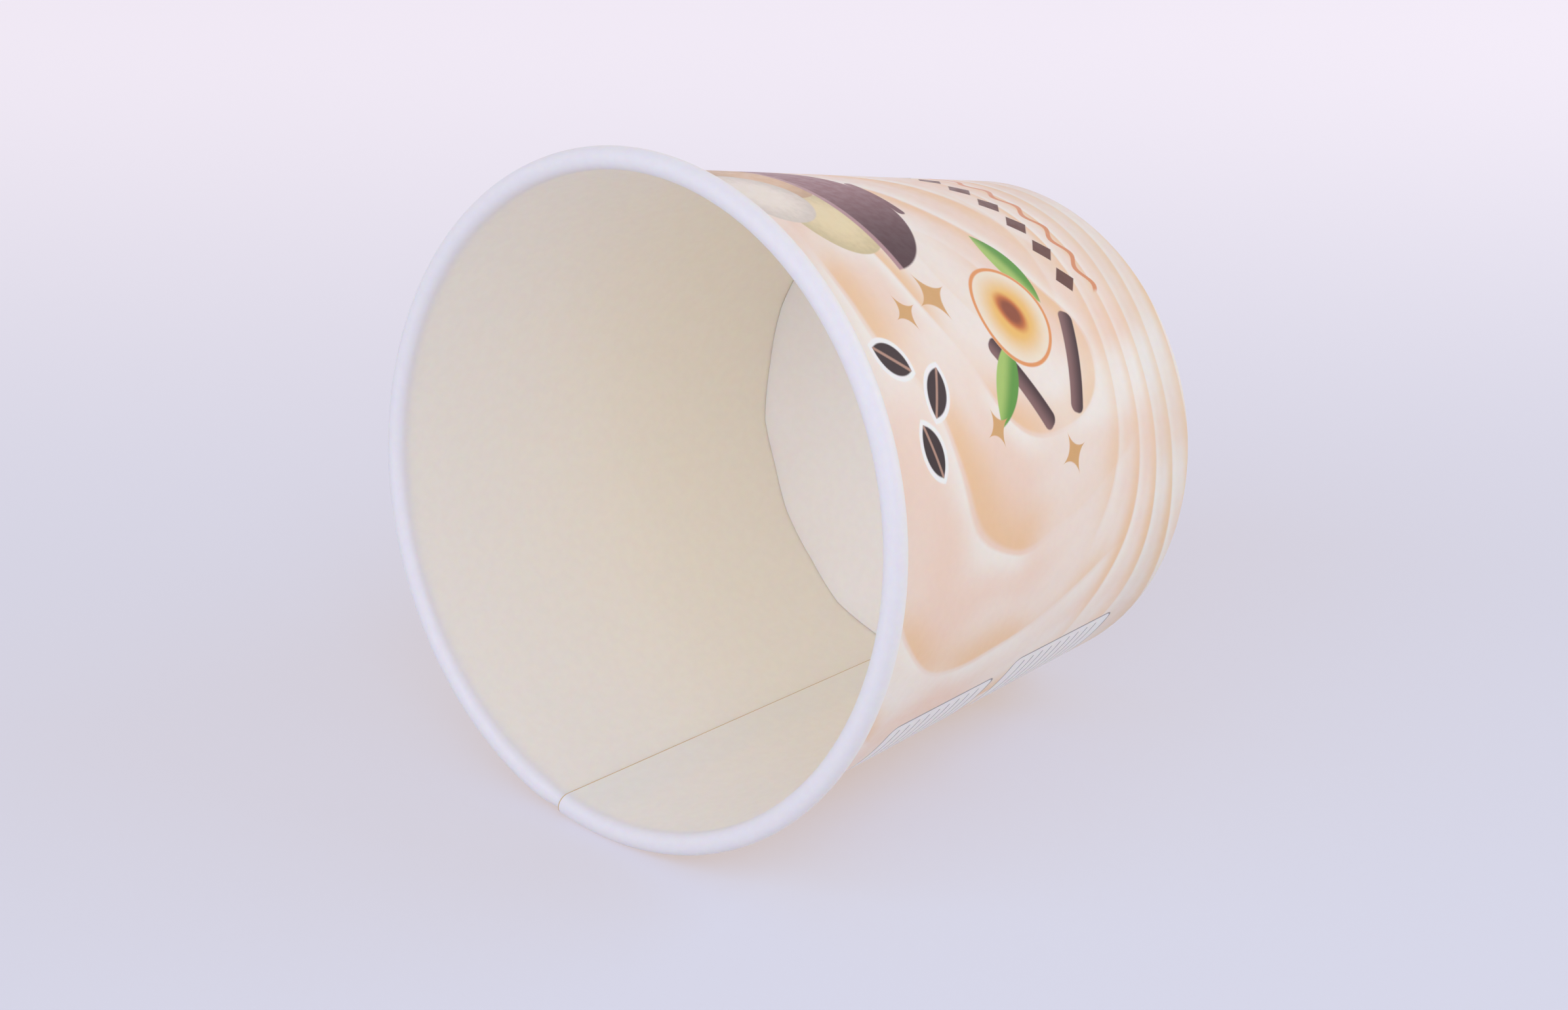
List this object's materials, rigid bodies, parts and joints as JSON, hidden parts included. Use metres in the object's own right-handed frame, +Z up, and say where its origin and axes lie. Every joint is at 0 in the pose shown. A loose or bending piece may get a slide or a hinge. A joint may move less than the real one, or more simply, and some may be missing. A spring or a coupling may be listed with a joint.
{
  "type": "paper ice cream cup",
  "caption": "Round tapered paper cup for ice cream, open at the top, with a rolled rim, a glued side lap, and a separate bottom disc set up inside a folded foot.",
  "frame": {"origin": "centre of the foot ring, on the surface that the cup stands on", "axes": "+Z up the cup's axis, out of its mouth; -Y towards the middle of the print; the side lap is at the back, at 128 degrees from +X"},
  "size_m": [0.0974, 0.0974, 0.08],
  "materials": {
    "printed_board": "satin",
    "plain_board": "matte"
  },
  "bodies": {
    "root": {"side_wall": "printed_board", "base_disc": "plain_board"}
  },
  "joints": []
}
